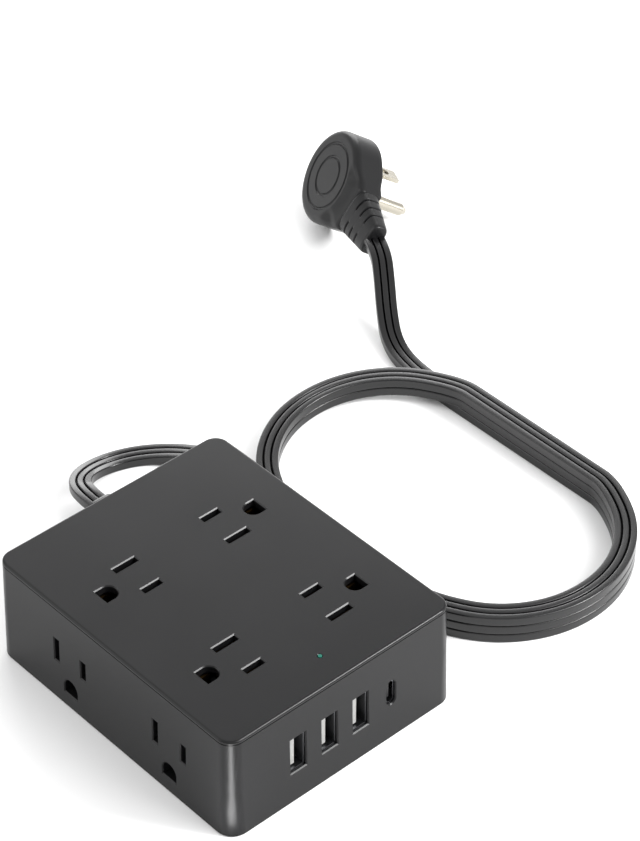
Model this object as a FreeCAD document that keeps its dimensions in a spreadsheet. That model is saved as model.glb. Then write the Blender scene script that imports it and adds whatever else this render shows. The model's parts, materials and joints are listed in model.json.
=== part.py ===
# Surge protector cube: a flat box with eight outlets, four USB ports, a flat three-core
# cord in a stacked coil and a flat round plug. Frame: origin under the middle of the box,
# +X towards the USB face, -X towards the cord, +Z up. Sizes in millimetres.
import FreeCAD
import Part
import Sketcher
import math
import os
import re

from FreeCAD import Placement, Rotation, Vector

# name, value, what it is
SIZES = [
    ("caseLength", 108.6, "case length at the top"),
    ("caseWidth", 88.9, "case width at the top"),
    ("caseHeight", 38.3, "floor to top face"),
    ("draftStep", 1.05, "how far each wall leans out at the base"),
    ("cornerRadius", 5.0, "upright corner radius at the top"),
    ("sideWall", 2.4, "side wall thickness at the top"),
    ("footRise", 0.5, "how far the feet lift the case"),
    ("coverThick", 2.6, "top cover thickness"),
    ("lipDepth", 1.1, "visible edge of the top cover"),
    ("seamGap", 0.35, "shadow gap under the top cover"),
    ("topRound", 0.8, "rounding of the top edge"),
    ("coverFit", 0.1, "clearance of covers in the side shell"),
    ("baseThick", 2.2, "bottom cover thickness"),
    ("postInset", 6.9, "screw post centre from the top outline"),
    ("postRadius", 3.6, "screw post radius"),
    ("screwRadius", 1.45, "screw shank radius"),
    ("headRadius", 2.8, "screw head radius"),
    ("headHeight", 1.4, "screw head height"),
    ("screwReach", 9.0, "screw length above the bottom cover"),
    ("footRadius", 5.0, "rubber foot radius"),
    ("footSink", 1.1, "foot pocket depth"),
    ("footX", 38.0, "foot centre along X"),
    ("footY", 33.0, "foot centre along Y"),
    ("keyholeY", 26.4, "wall-hanging keyhole centre along Y"),
    ("keyholeRadius", 4.2, "keyhole radius"),
    ("keySlotWidth", 4.4, "keyhole neck width"),
    ("keySlotReach", 9.0, "keyhole neck length from its centre"),
    ("outletLeft", -19.0, "outlet centre nearer the cord, along X"),
    ("outletRight", 27.5, "outlet centre nearer the USB face, along X"),
    ("topRowY", 17.1, "slot line of the top rows, along Y"),
    ("sideRowZ", 20.3, "slot line of the side rows, along Z"),
    ("slotPitch", 12.7, "distance between the two flat slots"),
    ("groundDrop", 11.9, "slot line to ground pin centre"),
    ("slotWidth", 2.2, "width of the flat slots"),
    ("neutralLength", 8.7, "length of the neutral slot"),
    ("lineLength", 7.0, "length of the line slot"),
    ("groundWidth", 6.1, "width of the ground hole"),
    ("groundTail", 2.7, "flat end of the ground hole below its centre"),
    ("slotDepth", 3.9, "depth of the slot cutters"),
    ("slotBevel", 0.35, "bevel round each slot"),
    ("coverGap", 0.7, "top cover to the contacts under it"),
    ("wallGap", 0.9, "side wall to the contacts behind it"),
    ("contactBottom", 12.0, "outer face to the bottom of the contacts"),
    ("contactHalf", 3.4, "half length of a flat contact"),
    ("contactGap", 1.6, "gap between the leaves of a flat contact"),
    ("groundGap", 4.9, "gap between the leaves of a ground contact"),
    ("groundHalf", 2.6, "half length of a ground contact"),
    ("sheetThick", 0.8, "brass sheet thickness"),
    ("stripOffset", 4.0, "contact centre to its strip"),
    ("stripTop", 5.0, "outer face to the strip"),
    ("stripHeight", 4.0, "strip height"),
    ("trayThick", 2.0, "contact tray thickness"),
    ("trayHalf", 37.0, "contact tray half length"),
    ("trayPostX", 4.25, "tray post centre along X"),
    ("trayPostRadius", 2.5, "tray post radius"),
    ("trayScrewRadius", 1.0, "tray screw shank radius"),
    ("boardZ", 5.0, "underside of the surge board"),
    ("boardThick", 1.6, "circuit board thickness"),
    ("boardInset", 8.3, "case end at the cord to the surge board"),
    ("boardRight", 32.0, "surge board end nearer the USB face"),
    ("boardHalf", 21.5, "surge board half width"),
    ("usbBoardX", 38.0, "back of the USB board"),
    ("usbFirstY", -18.4, "first type A port centre along Y"),
    ("usbPitch", 12.4, "distance between ports"),
    ("usbZ", 18.7, "port centre height"),
    ("usbLong", 13.1, "type A shell height"),
    ("usbShort", 5.7, "type A shell width"),
    ("typecLong", 8.9, "type C shell height"),
    ("typecShort", 3.2, "type C shell width"),
    ("shellSheet", 0.35, "port shell sheet thickness"),
    ("shellSink", 0.9, "port shells sit below the face"),
    ("usbClear", 0.15, "window clearance round a port shell"),
    ("lampX", 43.8, "indicator along X"),
    ("lampRadius", 0.65, "indicator radius"),
    ("resetY", -17.0, "reset button along Y"),
    ("resetZ", 18.6, "reset button height"),
    ("resetRadius", 3.5, "reset button radius"),
    ("resetTravel", 2.0, "reset button travel"),
    ("resetClear", 0.35, "running clearance round the button"),
    ("bezelRadius", 7.0, "reset bezel radius"),
    ("cordY", 14.5, "cord exit along Y"),
    ("cordZ", 9.0, "cord exit height"),
    ("cordWidth", 7.5, "flat cord width"),
    ("cordThick", 3.4, "flat cord thickness"),
    ("turnPitch", 3.5, "height of one turn in the coil"),
    ("coilX", -34.0, "coil left end arc centre along X"),
    ("coilStraight", 48.7, "straight part of the coil"),
    ("coilY", 103.4, "coil centre along Y"),
    ("coilRadius", 45.6, "coil outer radius"),
    ("reliefLength", 24.6, "length of the strain relief at the case"),
    ("plugRadius", 18.0, "plug disc radius"),
    ("plugThick", 12.0, "plug disc thickness"),
    ("plugRound", 2.2, "rounding of the plug face"),
    ("ringInner", 7.4, "inner ring groove radius"),
    ("ringOuter", 12.6, "outer ring groove radius"),
    ("ringWidth", 0.9, "ring groove width"),
    ("ringDepth", 0.5, "ring groove depth"),
    ("plugNeck", 22.0, "plug centre to the strain relief"),
    ("plugReach", 40.0, "plug centre to the cord"),
    ("neckWidth", 18.0, "strain relief width at the plug"),
    ("neckThick", 10.0, "strain relief thickness at the plug"),
    ("tipWidth", 12.0, "strain relief width at the cord"),
    ("tipThick", 6.6, "strain relief thickness at the cord"),
    ("bladeLength", 17.5, "blade length"),
    ("bladeThick", 1.52, "blade thickness"),
    ("lineBladeWidth", 6.35, "line blade width"),
    ("neutralBladeWidth", 7.94, "neutral blade width"),
    ("pinRadius", 2.38, "ground pin radius"),
    ("pinLength", 20.7, "ground pin length"),
    ("pinReach", 6.5, "ground pin from the plug centre"),
    ("plugX", -153.0, "plug centre along X"),
    ("plugY", 189.0, "plug centre along Y"),
    ("plugTurn", -25.0, "direction of the plug's cord exit, degrees from +X"),
]

doc = FreeCAD.newDocument("surge_cube")
sheet = doc.addObject("Spreadsheet::Sheet", "Sizes")
for row, (alias, value, meaning) in enumerate(SIZES, start=1):
    sheet.set(f"A{row}", meaning)
    sheet.set(f"B{row}", str(value))
    sheet.setAlias(f"B{row}", alias)
doc.recompute()
VALUE = {alias: float(value) for alias, value, meaning in SIZES}
ALIAS = re.compile(r"[A-Za-z]\w+")


def size(text):
    """Value of an expression written with the sheet's names."""
    return FreeCAD.Units.Quantity(ALIAS.sub(lambda m: repr(VALUE[m.group(0)]), text)).Value


def bind(obj, prop, text):
    """Bind a property to an expression written with the sheet's names."""
    obj.setExpression(prop, ALIAS.sub(lambda m: "Sizes." + m.group(0), text))


def locate(obj, at, rotation=None):
    if rotation:
        obj.Placement = Placement(Vector(), rotation)
    for axis, text in zip("xyz", at):
        bind(obj, f"Placement.Base.{axis}", text)


def box(label, at, dims):
    """Box from its low corner, by expressions."""
    obj = doc.addObject("Part::Box", label)
    for prop, text in zip(("Length", "Width", "Height"), dims):
        bind(obj, prop, text)
    locate(obj, at)
    return obj


def span(label, low, high):
    """Box from its low and high corners, by expressions."""
    return box(label, low, [f"({b}) - ({a})" for a, b in zip(low, high)])


ALONG = {"x": Rotation(Vector(0, 1, 0), 90), "y": Rotation(Vector(1, 0, 0), -90), "z": Rotation()}


def cylinder(label, at, radius, height, along="z", angle=None):
    obj = doc.addObject("Part::Cylinder", label)
    bind(obj, "Radius", radius)
    bind(obj, "Height", height)
    if angle:
        obj.Angle = angle
    locate(obj, at, ALONG[along])
    return obj


def fuse(label, shapes):
    obj = doc.addObject("Part::MultiFuse", label)
    obj.Shapes = shapes
    obj.Refine = True
    return obj


def group(label, shapes):
    """Separate solids that share one node."""
    obj = doc.addObject("Part::Compound", label)
    obj.Links = shapes
    return obj


def cut(label, base, tool):
    obj = doc.addObject("Part::Cut", label)
    obj.Base = base
    obj.Tool = fuse(label + "_tools", tool) if isinstance(tool, list) else tool
    return obj


def round_rect(label, length, width, radius, z):
    """Closed sketch of a rounded rectangle about the origin at height z."""
    sk = doc.addObject("Sketcher::SketchObject", label)
    a, b, r = size(length) / 2, size(width) / 2, size(radius)
    ends = [((-a + r, -b), (a - r, -b)), ((a, -b + r), (a, b - r)),
            ((a - r, b), (-a + r, b)), ((-a, b - r), (-a, -b + r))]
    for start, end in ends:
        sk.addGeometry(Part.LineSegment(Vector(*start, 0), Vector(*end, 0)))
    turns = [(a - r, -b + r, 270), (a - r, b - r, 0), (-a + r, b - r, 90), (-a + r, -b + r, 180)]
    for cx, cy, start in turns:
        circle = Part.Circle(Vector(cx, cy, 0), Vector(0, 0, 1), r)
        sk.addGeometry(Part.ArcOfCircle(circle, math.radians(start), math.radians(start + 90)))
    for i in range(4):
        sk.addConstraint(Sketcher.Constraint("Tangent", i, 2, 4 + i, 1))
        sk.addConstraint(Sketcher.Constraint("Tangent", 4 + i, 2, (i + 1) % 4, 1))
        sk.addConstraint(Sketcher.Constraint("Horizontal" if i % 2 == 0 else "Vertical", i))
    for i in range(3):
        sk.addConstraint(Sketcher.Constraint("Equal", 4 + i, 5 + i))
    sk.addConstraint(Sketcher.Constraint("Symmetric", 0, 1, 2, 1, -1, 1))
    named = [("Span", Sketcher.Constraint("DistanceX", 3, 1, 1, 1, 2 * a), length),
             ("Breadth", Sketcher.Constraint("DistanceY", 0, 1, 2, 1, 2 * b), width),
             ("Turn", Sketcher.Constraint("Radius", 4, r), radius)]
    for name, constraint, text in named:
        sk.renameConstraint(sk.addConstraint(constraint), name)
        bind(sk, f"Constraints.{name}", text)
    bind(sk, "Placement.Base.z", z)
    return sk


def plate(label, length, width, radius, low, high):
    """Upright rounded plate between two heights."""
    obj = doc.addObject("Part::Extrusion", label)
    obj.Base = round_rect(label + "_outline", length, width, radius, low)
    obj.DirMode = "Custom"
    obj.Dir = Vector(0, 0, 1)
    bind(obj, "LengthFwd", f"({high}) - ({low})")
    obj.Solid = True
    return obj


def loft(label, sections):
    obj = doc.addObject("Part::Loft", label)
    obj.Sections = sections
    obj.Solid = True
    obj.Ruled = True
    return obj


def bevel(label, base, size_name, wanted):
    """Chamfer every edge of base that the test accepts."""
    doc.recompute()
    obj = doc.addObject("Part::Chamfer", label)
    obj.Base = base
    step = VALUE[size_name]
    obj.Edges = [(i, step, step) for i, edge in enumerate(base.Shape.Edges, start=1) if wanted(edge)]
    return obj


def tube_path(points):
    """Straight runs joined by tangent arcs, each as large as its two runs allow."""
    points = [Vector(*p) for p in points]
    edges = []
    start = points[0]
    radii = []
    for before, corner, after in zip(points, points[1:], points[2:]):
        run_in, run_out = corner - before, after - corner
        half = run_in.getAngle(run_out) / 2
        reach = 0.45 * min(run_in.Length, run_out.Length)
        radii.append(reach / math.tan(half))
        into = Vector(run_in).normalize()
        out = Vector(run_out).normalize()
        first, last = corner - into * reach, corner + out * reach
        bisector = (out - into).normalize()
        middle = corner + bisector * radii[-1] * (1 / math.cos(half) - 1)
        edges.append(Part.LineSegment(start, first).toShape())
        edges.append(Part.Arc(first, middle, last).toShape())
        start = last
    edges.append(Part.LineSegment(start, points[-1]).toShape())
    return Part.Wire(edges), radii


def tube(label, points, profile, up=None):
    """Solid swept along a route; up keeps a flat section level."""
    path, radii = tube_path(points)
    sweep = Part.BRepOffsetAPI.MakePipeShell(path)
    if up:
        sweep.setBiNormalMode(up)
    sweep.add(profile, False, False)
    sweep.build()
    sweep.makeSolid()
    obj = doc.addObject("Part::Feature", label)
    obj.Shape = sweep.shape()
    section = Part.Face(profile).Area
    share = obj.Shape.Volume / (section * path.Length)
    print(f"{label}: length {path.Length:.1f}, smallest radius {min(radii):.1f}, volume share {share:.3f}")
    return obj


def flat_section(at, heading):
    """Rounded rectangle across the flat cord, standing on its route."""
    half, rise, r = VALUE["cordWidth"] / 2, VALUE["cordThick"] / 2, 1.3
    across = Vector(0, 0, 1).cross(Vector(*heading)).normalize()
    over = Vector(*heading).cross(across).normalize()
    corners = [(1, 1), (-1, 1), (-1, -1), (1, -1)]
    edges = []
    spots = []
    for i, (sx, sy) in enumerate(corners):
        long_point = Vector(*at) + across * sx * (half - r) + over * sy * rise
        side_point = Vector(*at) + across * sx * half + over * sy * (rise - r)
        knee = r * (1 - math.sqrt(0.5))
        mid = Vector(*at) + across * sx * (half - knee) + over * sy * (rise - knee)
        spots.append((side_point, mid, long_point) if i % 2 == 0 else (long_point, mid, side_point))
    for i in range(4):
        edges.append(Part.Arc(*spots[i]).toShape())
        edges.append(Part.LineSegment(spots[i][2], spots[(i + 1) % 4][0]).toShape())
    return Part.Wire(edges)


def step_on(point, ahead, reach):
    return [a + b * reach for a, b in zip(point, ahead)]


# ---------------------------------------------------------------- case
SEAM = "caseHeight - lipDepth - seamGap"
CAVITY = ("caseLength - 2 * sideWall", "caseWidth - 2 * sideWall", "cornerRadius - sideWall")
COVER = ("caseLength - 2 * sideWall - 2 * coverFit", "caseWidth - 2 * sideWall - 2 * coverFit",
         "cornerRadius - sideWall")
BASE_TOP = "footRise + baseThick"
COVER_UNDER = "caseHeight - coverThick"
SIDE_FACE = "caseWidth / 2 + draftStep * (1 - sideRowZ / caseHeight)"
OUTLETS = ("outletLeft", "outletRight")
TURNED = ("0 - outletRight", "0 - outletLeft")
CORNERS = [(sx, sy) for sx in (-1, 1) for sy in (-1, 1)]
HALF_TURN = Rotation(Vector(0, 0, 1), 180)
QUARTER = Rotation(Vector(1, 0, 0), 90)
# row name: slot-line origin, rotation, outlet places in the row's own X
ROWS = {
    "top_near": (("0 * caseHeight", "0 - topRowY", "caseHeight"), Rotation(), OUTLETS),
    "top_far": (("0 * caseHeight", "topRowY", "caseHeight"), HALF_TURN, TURNED),
    "side_near": (("0 * caseHeight", f"0 - ({SIDE_FACE})", "sideRowZ"), QUARTER, OUTLETS),
    "side_far": (("0 * caseHeight", SIDE_FACE, "sideRowZ"), HALF_TURN * QUARTER, TURNED),
}


def place_row(obj, row):
    origin, rotation, xs = ROWS[row]
    locate(obj, origin, rotation)
    return obj


def row_cutter(row):
    """Two flat slots and a round-topped ground hole at each outlet of a row."""
    pieces = []
    for i, x in enumerate(ROWS[row][2]):
        name = f"{row}_cut_{i}"
        for tag, sign, length in (("neutral", "-", "neutralLength"), ("line", "+", "lineLength")):
            low = (f"{x} {sign} slotPitch / 2 - slotWidth / 2", f"0 - {length} / 2", "0 - slotDepth")
            pieces.append(box(f"{name}_{tag}", low, ("slotWidth", length, "slotDepth + 1")))
        centre = (x, "0 - groundDrop", "0 - slotDepth")
        pieces.append(cylinder(f"{name}_arch", centre, "groundWidth / 2", "slotDepth + 1", angle=180))
        low = (f"{x} - groundWidth / 2", "0 - groundDrop - groundTail", "0 - slotDepth")
        pieces.append(box(f"{name}_foot", low, ("groundWidth", "groundTail", "slotDepth + 1")))
    return place_row(fuse(f"{row}_cutter", pieces), row)


def tray_post(row):
    """Post behind a row of outlets that its contact tray is screwed to."""
    x = "trayPostX" if row.endswith("near") else "0 - trayPostX"
    foot = (x, "0 * trayPostX", "0 - contactBottom")
    post = cylinder(f"{row}_post_blank", foot, "trayPostRadius", "contactBottom - coverThick")
    drill = cylinder(f"{row}_post_drill", foot, "trayScrewRadius", "5")
    return place_row(cut(f"{row}_post", post, drill), row)


def post_places():
    return [(f"{sx} * (caseLength / 2 - postInset)", f"{sy} * (caseWidth / 2 - postInset)")
            for sx, sy in CORNERS]


def usb_ports():
    """Port name, centre along Y, height and width of its shell."""
    ports = [(f"usb_a_{i + 1}", f"usbFirstY + {i} * usbPitch", "usbLong", "usbShort") for i in range(3)]
    return ports + [("usb_c", "usbFirstY + 3 * usbPitch", "typecLong", "typecShort")]


def port_shape(label, start, end, y, long_side, short_side, margin):
    """Upright block with a port's outline grown by a margin; a type C port has round ends."""
    half, tall = f"{short_side} / 2 + {margin}", f"{long_side} / 2 + {margin}"
    if not label.startswith("usb_c"):
        return span(label, (start, f"{y} - ({half})", f"usbZ - ({tall})"), (end, f"{y} + {half}", f"usbZ + {tall}"))
    ends = [f"usbZ {sign} ({long_side} - {short_side}) / 2" for sign in "-+"]
    rounds = [cylinder(f"{label}_end_{i}", (start, y, z), half, f"({end}) - ({start})", "x")
              for i, z in enumerate(ends)]
    bar = span(f"{label}_bar", (start, f"{y} - ({half})", ends[0]), (end, f"{y} + {half}", ends[1]))
    return fuse(label, rounds + [bar])


def side_shell():
    outer = loft("shell_outer", [
        round_rect("shell_foot", "caseLength + 2 * draftStep", "caseWidth + 2 * draftStep",
                   "cornerRadius + draftStep", "footRise"),
        round_rect("shell_head", "caseLength", "caseWidth", "cornerRadius", SEAM)])
    tools = [plate("shell_cavity", *CAVITY, "footRise - 1", "caseHeight + 1")]
    tools += [row_cutter("side_near"), row_cutter("side_far")]
    for name, y, long_side, short_side in usb_ports():
        tools.append(port_shape(f"{name}_window", "caseLength / 2 - sideWall - 1", "caseLength / 2 + 4",
                                y, long_side, short_side, "usbClear"))
    tools.append(cylinder("bezel_hole", ("0 - caseLength / 2 - 3", "resetY", "resetZ"), "bezelRadius",
                          "sideWall + 4", "x"))
    low = ("0 - caseLength / 2 - 3", "cordY - 5.5", "cordZ - 3.5")
    tools.append(box("cord_hole", low, ("sideWall + 4", "11", "7")))
    body = cut("shell_body", outer, tools)
    whole = fuse("shell_whole", [body, tray_post("side_near"), tray_post("side_far")])

    def mouth_edge(edge):
        box_ = edge.BoundBox
        if box_.ZMin < 2 or box_.ZMax > VALUE["caseHeight"] - 3:
            return False
        skin = [VALUE["caseLength"] / 2 + VALUE["draftStep"] * (1 - v.Z / size(SEAM)) for v in edge.Vertexes]
        if all(abs(v.X - x) < 0.1 for v, x in zip(edge.Vertexes, skin)):
            return max(abs(box_.YMin), abs(box_.YMax)) < VALUE["caseWidth"] / 3
        middle = (box_.ZMin + box_.ZMax) / 2
        lean = VALUE["draftStep"] * (1 - middle / size(SEAM))
        on_side = abs(max(abs(box_.YMin), abs(box_.YMax)) - VALUE["caseWidth"] / 2 - lean) < 0.2
        flat = box_.YMax - box_.YMin < 0.5
        near = any(abs(box_.Center.x - VALUE[x]) < 9 for x in OUTLETS)
        return on_side and flat and near

    return bevel("side_shell", whole, "slotBevel", mouth_edge)


def top_cover():
    lip = plate("cover_lip", "caseLength", "caseWidth", "cornerRadius", "caseHeight - lipDepth", "caseHeight")
    doc.recompute()
    rounded = doc.addObject("Part::Fillet", "cover_rounded")
    rounded.Base = lip
    top = VALUE["caseHeight"]
    step = VALUE["topRound"]
    rounded.Edges = [(i, step, step) for i, edge in enumerate(lip.Shape.Edges, start=1)
                     if abs(edge.BoundBox.ZMin - top) < 1e-4]
    solids = [rounded, plate("cover_plug", *COVER, COVER_UNDER, "caseHeight - lipDepth")]
    tools = [row_cutter("top_near"), row_cutter("top_far")]
    for i, (x, y) in enumerate(post_places()):
        solids.append(cylinder(f"cover_post_{i}", (x, y, BASE_TOP), "postRadius",
                               f"({COVER_UNDER}) - ({BASE_TOP})"))
        tools.append(cylinder(f"cover_drill_{i}", (x, y, BASE_TOP), "screwRadius", "screwReach + 0.5"))
    solids += [tray_post("top_near"), tray_post("top_far")]
    tools.append(cylinder("lamp_hole", ("lampX", "0 * lampX", "caseHeight - coverThick - 1"), "lampRadius",
                          "coverThick + 2"))
    whole = cut("cover_whole", fuse("cover_solids", solids), tools)

    def slot_edge(edge):
        box_ = edge.BoundBox
        inside = abs(box_.Center.x) < VALUE["caseLength"] / 2 - 8 and abs(box_.Center.y) < VALUE["caseWidth"] / 2 - 8
        short = box_.XLength < 12 and box_.YLength < 12
        return abs(box_.ZMin - top) < 1e-4 and abs(box_.ZMax - top) < 1e-4 and inside and short

    return bevel("top_cover", whole, "slotBevel", slot_edge)


def bottom_cover():
    body = plate("base_plate", *COVER, "footRise", BASE_TOP)
    tools = []
    for i, (x, y) in enumerate(post_places()):
        tools.append(cylinder(f"base_hole_{i}", (x, y, "footRise - 1"), "screwRadius + 0.15", "baseThick + 2"))
        tools.append(cylinder(f"base_sink_{i}", (x, y, "footRise - 1"), "headRadius + 0.2", "headHeight + 1"))
    for i, (sx, sy) in enumerate(CORNERS):
        at = (f"{sx} * footX", f"{sy} * footY", "footRise - 1")
        tools.append(cylinder(f"foot_pocket_{i}", at, "footRadius", "footSink + 1"))
    for tag, sign in (("near", -1), ("far", 1)):
        y = f"{sign} * keyholeY"
        tools.append(cylinder(f"keyhole_{tag}", ("0 * keyholeY", y, "footRise - 1"), "keyholeRadius", "baseThick + 2"))
        low = ("0 * keyholeY", f"{y} - keySlotWidth / 2", "footRise - 1")
        tools.append(box(f"key_slot_{tag}", low, ("keySlotReach", "keySlotWidth", "baseThick + 2")))
    return cut("bottom_cover", body, tools)


def case_screws():
    screws = []
    for i, (x, y) in enumerate(post_places()):
        shank = cylinder(f"screw_shank_{i}", (x, y, "footRise + 0.1"), "screwRadius", "baseThick + screwReach - 0.1")
        head = cylinder(f"screw_head_{i}", (x, y, "footRise + 0.1"), "headRadius", "headHeight - 0.1")
        drive = box(f"screw_drive_a_{i}", (f"{x} - 1.6", f"{y} - 0.35", "footRise - 0.5"), ("3.2", "0.7", "1.3"))
        cross = box(f"screw_drive_b_{i}", (f"{x} - 0.35", f"{y} - 1.6", "footRise - 0.5"), ("0.7", "3.2", "1.3"))
        screws.append(cut(f"screw_{i}", fuse(f"screw_blank_{i}", [shank, head]), [drive, cross]))
    return group("case_screws", screws)


def rubber_feet():
    feet = []
    for i, (sx, sy) in enumerate(CORNERS):
        at = (f"{sx} * footX", f"{sy} * footY", "0 * footX")
        feet.append(cylinder(f"foot_{i}", at, "footRadius", "footRise + footSink"))
    return group("rubber_feet", feet)


# ------------------------------------------------------------- outlets
def contact_bar(row, role):
    """Sheet-brass strip with a two-leaf spring contact at each outlet of a row."""
    name = f"{row}_{role}_bar"
    sign = {"line": "+ slotPitch / 2", "neutral": "- slotPitch / 2", "ground": "+ 0 * slotPitch"}[role]
    middle = {"line": "0", "neutral": "0", "ground": "0 - groundDrop"}[role]
    gap, half = ("groundGap", "groundHalf") if role == "ground" else ("contactGap", "contactHalf")
    out = 1 if role == "line" else -1
    pieces = []
    centres = [f"{x} {sign}" for x in ROWS[row][2]]
    low_z = "0 - contactBottom"
    high_z = "0 - coverThick - coverGap" if row.startswith("top") else "0 - sideWall - wallGap"
    strip_y = f"{middle} + {out} * stripOffset - sheetThick / 2"
    for i, x in enumerate(centres):
        left = f"{x} - {gap} / 2 - sheetThick"
        right = f"{x} + {gap} / 2"
        for tag, start in (("a", left), ("b", right)):
            pieces.append(span(f"{name}_{i}_{tag}", (start, f"{middle} - {half}", low_z),
                               (f"{start} + sheetThick", f"{middle} + {half}", high_z)))
        pieces.append(span(f"{name}_{i}_web", (left, f"{middle} - {half}", low_z),
                           (f"{right} + sheetThick", f"{middle} + {half}", f"{low_z} + sheetThick")))
        ends = sorted([f"{middle} + {out} * ({half} - 0.2)", f"{middle} + {out} * (stripOffset + sheetThick / 2)"],
                      key=size)
        pieces.append(span(f"{name}_{i}_tab", (left, ends[0], "0 - stripTop - stripHeight"),
                           (f"{left} + sheetThick", ends[1], "0 - stripTop")))
    low = (f"{centres[0]} - {gap} / 2 - sheetThick", strip_y, "0 - stripTop - stripHeight")
    high = (f"{centres[1]} - {gap} / 2", f"{strip_y} + sheetThick", "0 - stripTop")
    pieces.append(span(f"{name}_strip", low, high))
    return place_row(fuse(name, pieces), row)


def contact_tray(row):
    """Insulating tray under a row of contacts, with its screw hole."""
    reach = "0 - groundDrop - groundHalf" if row.startswith("top") else "0 - groundDrop - stripOffset"
    low = ("0 - trayHalf", reach, "0 - contactBottom - trayThick")
    high = ("trayHalf", "contactHalf", "0 - contactBottom")
    body = span(f"{row}_tray_blank", low, high)
    x = "trayPostX" if row.endswith("near") else "0 - trayPostX"
    hole = cylinder(f"{row}_tray_hole", (x, "0 * trayPostX", "0 - contactBottom - trayThick - 1"),
                    "trayScrewRadius", "trayThick + 2")
    return place_row(cut(f"{row}_tray", body, hole), row)


def tray_screws():
    screws = []
    for row in ROWS:
        x = "trayPostX" if row.endswith("near") else "0 - trayPostX"
        under = "0 - contactBottom - trayThick"
        shank = cylinder(f"{row}_shank", (x, "0 * trayPostX", under), "trayScrewRadius", "trayThick + 4.5")
        head = cylinder(f"{row}_head", (x, "0 * trayPostX", f"{under} - 1.2"), "2 * trayScrewRadius", "1.2")
        screws.append(place_row(fuse(f"{row}_tray_screw", [shank, head]), row))
    return group("tray_screws", screws)


# --------------------------------------------------------- electronics
BOARD_TOP = "boardZ + boardThick"
BOARD_LEFT = "boardInset - caseLength / 2"


def board_box(label, x, y, z, dims):
    """Box on the surge board, from its low X and Y and its height above the board."""
    return box(label, (x, y, f"{BOARD_TOP} + {z}"), dims)


def electronics():
    nodes = []
    board = span("surge_board_blank", (BOARD_LEFT, "0 - boardHalf", "boardZ"), ("boardRight", "boardHalf", BOARD_TOP))
    pegs, holes = [], []
    for i, (sx, sy) in enumerate(CORNERS):
        x = f"({BOARD_LEFT} + boardRight) / 2 + {sx} * 35"
        y = f"{sy} * 18"
        holes.append(cylinder(f"board_hole_{i}", (x, y, "boardZ - 1"), "1.6", "boardThick + 2"))
        pegs.append(fuse(f"standoff_{i}", [
            cylinder(f"standoff_foot_{i}", (x, y, BASE_TOP), "2.8", f"boardZ - ({BASE_TOP})"),
            cylinder(f"standoff_pin_{i}", (x, y, "boardZ - 0.5"), "1.6", "boardThick + 1.3")]))
    nodes.append(cut("surge_board", board, holes))
    nodes.append(group("board_standoffs", pegs))
    discs = [fuse(f"varistor_{i}", [
        cylinder(f"varistor_disc_{i}", (f"{x}", "5", f"{BOARD_TOP} + 8.6"), "7", "4.6", "x"),
        board_box(f"varistor_legs_{i}", f"{x} + 1.9", "1.6", "0", ("0.8", "6.8", "3.2"))])
        for i, x in enumerate((-33, -26, -19))]
    nodes.append(group("varistors", discs))
    nodes.append(fuse("thermal_fuse", [
        cylinder("fuse_tube", ("0 - 35", "0 - 5.6", f"{BOARD_TOP} + 3.2"), "2", "10", "x"),
        board_box("fuse_leg_a", "0 - 37", "0 - 6", "0", ("0.8", "0.8", "3.6")),
        board_box("fuse_leg_b", "0 - 24.2", "0 - 6", "0", ("0.8", "0.8", "3.6")),
        box("fuse_wire", ("0 - 37", "0 - 6", f"{BOARD_TOP} + 2.8"), ("13.6", "0.8", "0.8"))]))
    nodes.append(board_box("film_capacitor", "0 - 11", "0 - 6", "0", ("18", "9", "14")))
    cans = [cylinder(f"can_{i}", ("13", y, BOARD_TOP), "4", "15") for i, y in enumerate(("0 - 4.6", "4.6"))]
    nodes.append(group("bulk_capacitors", cans))
    core = board_box("core_block", "19", "0 - 8", "0", ("9", "16", "14"))
    windows = [board_box("core_window_a", "18", "0 - 6.4", "2.4", ("11", "4", "9.2")),
               board_box("core_window_b", "18", "2.4", "2.4", ("11", "4", "9.2"))]
    nodes.append(cut("transformer_core", core, windows))
    coil = board_box("coil_block", "18", "0 - 6.2", "2.6", ("11", "12.4", "8.8"))
    leg = board_box("coil_leg", "17", "0 - 2.4", "0", ("13", "4.8", "15"))
    rails = [board_box("coil_front", "17.4", "0 - 6.2", "2.6", ("1.5", "12.4", "8.8")),
             board_box("coil_back", "28.1", "0 - 6.2", "2.6", ("1.5", "12.4", "8.8"))]
    nodes.append(fuse("transformer_coil", [cut("coil_sides", coil, leg)] + rails))
    nodes.append(board_box("power_chip", "16", "12", "0", ("7", "5", "1.8")))
    return nodes


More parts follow.
